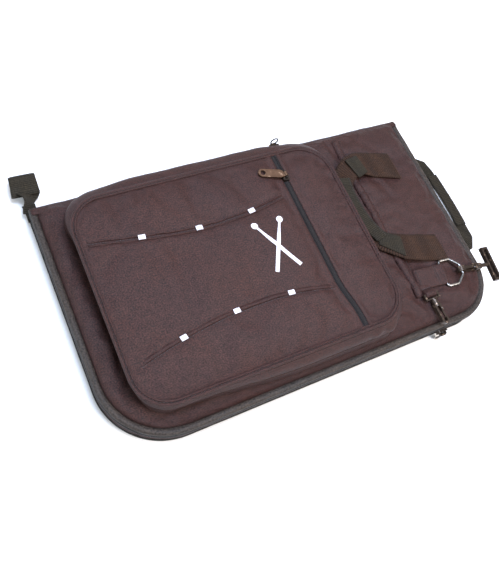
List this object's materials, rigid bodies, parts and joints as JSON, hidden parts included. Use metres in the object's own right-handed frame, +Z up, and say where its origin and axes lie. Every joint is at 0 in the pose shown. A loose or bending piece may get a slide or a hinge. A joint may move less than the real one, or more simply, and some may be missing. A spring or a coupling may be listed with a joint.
{
  "type": "drum stick bag",
  "caption": "Flat padded nylon drum stick bag with a zipped front pocket, webbing handles, a D-ring and snap hooks, closed and lying on its back.",
  "frame": {"origin": "on the floor under the middle of the back panel", "axes": "+X along the bag to the handle end, +Y from the zip edge to the spine, +Z up out of the pocket's face"},
  "size_m": [0.5258, 0.3356, 0.0677],
  "materials": {
    "nylon": "woven nylon, soft sheen",
    "lining": "smooth taffeta",
    "foam": "closed-cell foam sheet",
    "webbing": "ribbed webbing",
    "binding": "grosgrain tape",
    "zip_tape": "woven zip tape",
    "zip_coil": "moulded coil",
    "brass": "worn copper-brass plating",
    "slider_metal": "dark lacquer",
    "steel": "nickel plate",
    "hook_metal": "dark antique finish",
    "rivet": "plain",
    "thread": "white embroidery thread"
  },
  "bodies": {
    "back_half": {"back_cover": "nylon", "back_foam": "foam", "back_lining": "lining", "back_binding": "binding", "back_wall": "nylon", "back_zip_coil": "zip_coil", "spine_panel": "nylon", "back_sleeve_seams": "lining", "back_sleeve_sheet": "lining", "back_handle_anchors": "webbing", "corner_loop_anchor": "webbing"},
    "front_half": {"front_zip_coil": "zip_coil", "front_wall": "nylon", "front_border": "binding", "front_lining": "lining", "front_foam": "foam", "front_cover": "nylon", "front_sleeve_seams": "lining", "front_sleeve_sheet": "lining", "panel_welt": "nylon", "front_handle_anchors": "webbing", "pocket_gusset_lower": "nylon", "gusset_zip_lower": "zip_coil", "d_ring_tab": "nylon", "hook2_tab": "nylon"},
    "pocket_lid": {"gusset_zip_upper": "zip_coil", "pocket_gusset_upper": "nylon", "pocket_divider": "lining", "pocket_piping": "nylon", "pocket_face_main": "nylon", "pocket_face_side": "nylon", "face_zip_tape": "zip_tape", "face_zip_teeth": "zip_coil", "upper_tuck": "nylon", "lower_tuck": "nylon", "bar_tacks": "thread", "emblem": "thread"},
    "main_slider": {"main_slider": "slider_metal"},
    "main_pull": {"main_pull": "brass"},
    "gusset_slider": {"gusset_slider": "slider_metal"},
    "gusset_pull": {"gusset_pull": "brass"},
    "face_slider": {"face_slider": "brass"},
    "face_pull": {"face_pull": "brass"},
    "front_handle": {"front_handle": "webbing"},
    "back_handle": {"back_handle": "webbing"},
    "corner_loop": {"corner_loop": "webbing"},
    "d_ring": {"d_ring": "steel"},
    "hook1": {"hook1_body": "hook_metal", "hook1_gate_pin": "rivet"},
    "hook1_gate": {"hook1_gate": "hook_metal"},
    "hook1_eye": {"hook1_eye": "hook_metal"},
    "hook2_eye": {"hook2_eye": "hook_metal"},
    "hook2": {"hook2_body": "hook_metal", "hook2_gate_pin": "rivet"},
    "hook2_gate": {"hook2_gate": "hook_metal"}
  },
  "joints": [
    {"name": "front_half_open", "type": "hinge", "parent": "back_half", "child": "front_half", "pos_m": [0, 0.138, 0.033], "axis": [-1, 0, 0], "range_deg": [0, 180]},
    {"name": "main_zip", "type": "slide", "parent": "back_half", "child": "main_slider", "axis": [-1, 0, 0], "range_m": [0, 0.315]},
    {"name": "main_pull_swing", "type": "hinge", "parent": "main_slider", "child": "main_pull", "pos_m": [0.15, -0.1444, 0.0174], "axis": [-1, 0, 0], "range_deg": [0, 170]},
    {"name": "pocket_lid_open", "type": "hinge", "parent": "front_half", "child": "pocket_lid", "pos_m": [0.1005, 0, 0.04485], "axis": [0, 1, 0], "range_deg": [0, 100]},
    {"name": "face_zip", "type": "slide", "parent": "pocket_lid", "child": "face_slider", "axis": [0, -1, 0], "range_m": [0, 0.142]},
    {"name": "face_pull_swing", "type": "hinge", "parent": "face_slider", "child": "face_pull", "pos_m": [0.033, 0.082, 0.0657], "axis": [0, 1, 0], "range_deg": [0, 175]},
    {"name": "gusset_zip", "type": "slide", "parent": "front_half", "child": "gusset_slider", "axis": [-1, 0, 0], "range_m": [0, 0.2]},
    {"name": "gusset_pull_swing", "type": "hinge", "parent": "gusset_slider", "child": "gusset_pull", "pos_m": [0.048, 0.1345, 0.04485], "axis": [-1, 0, 0], "range_deg": [0, 170]},
    {"name": "front_handle_lift", "type": "hinge", "parent": "front_half", "child": "front_handle", "pos_m": [0.196, 0.012, 0.0362], "axis": [0, 1, 0], "range_deg": [0, 175]},
    {"name": "back_handle_lift", "type": "hinge", "parent": "back_half", "child": "back_handle", "pos_m": [0.242, 0.016, 0.0012], "axis": [0, -1, 0], "range_deg": [0, 80]},
    {"name": "corner_loop_sway", "type": "hinge", "parent": "back_half", "child": "corner_loop", "pos_m": [-0.236, 0.15, 0.0117], "axis": [0, 0, 1], "range_deg": [0, 40]},
    {"name": "d_ring_lift", "type": "hinge", "parent": "front_half", "child": "d_ring", "pos_m": [0.1775, -0.082, 0.0371], "axis": [-0.1219, -0.9925, 0], "range_deg": [0, 90]},
    {"name": "hook1_swing", "type": "hinge", "parent": "d_ring", "child": "hook1", "pos_m": [0.20109, -0.0849, 0.04044], "axis": [-0.1219, -0.9925, 0], "range_deg": [0, 50]},
    {"name": "hook1_swivel", "type": "hinge", "parent": "hook1", "child": "hook1_eye", "pos_m": [0.24697, -0.09053, 0.0364], "axis": [0.9888, -0.1214, -0.0872], "continuous": true},
    {"name": "hook1_gate_press", "type": "hinge", "parent": "hook1", "child": "hook1_gate", "pos_m": [0.21908, -0.08711, 0.04227], "axis": [-0.1219, -0.9925, 0], "range_deg": [0, 15], "stiffness_Nm_per_rad": 0.02, "springref_deg": -20.05},
    {"name": "hook2_lift", "type": "hinge", "parent": "front_half", "child": "hook2_eye", "pos_m": [0.146, -0.099, 0.0389], "axis": [-1, 0, 0], "range_deg": [0, 100]},
    {"name": "hook2_swivel", "type": "hinge", "parent": "hook2_eye", "child": "hook2", "pos_m": [0.146, -0.11, 0.0389], "axis": [0, 1, 0], "continuous": true},
    {"name": "hook2_gate_press", "type": "hinge", "parent": "hook2", "child": "hook2_gate", "pos_m": [0.1492, -0.11925, 0.0389], "axis": [0, 0, -1], "range_deg": [0, 15], "stiffness_Nm_per_rad": 0.02, "springref_deg": -20.05}
  ]
}
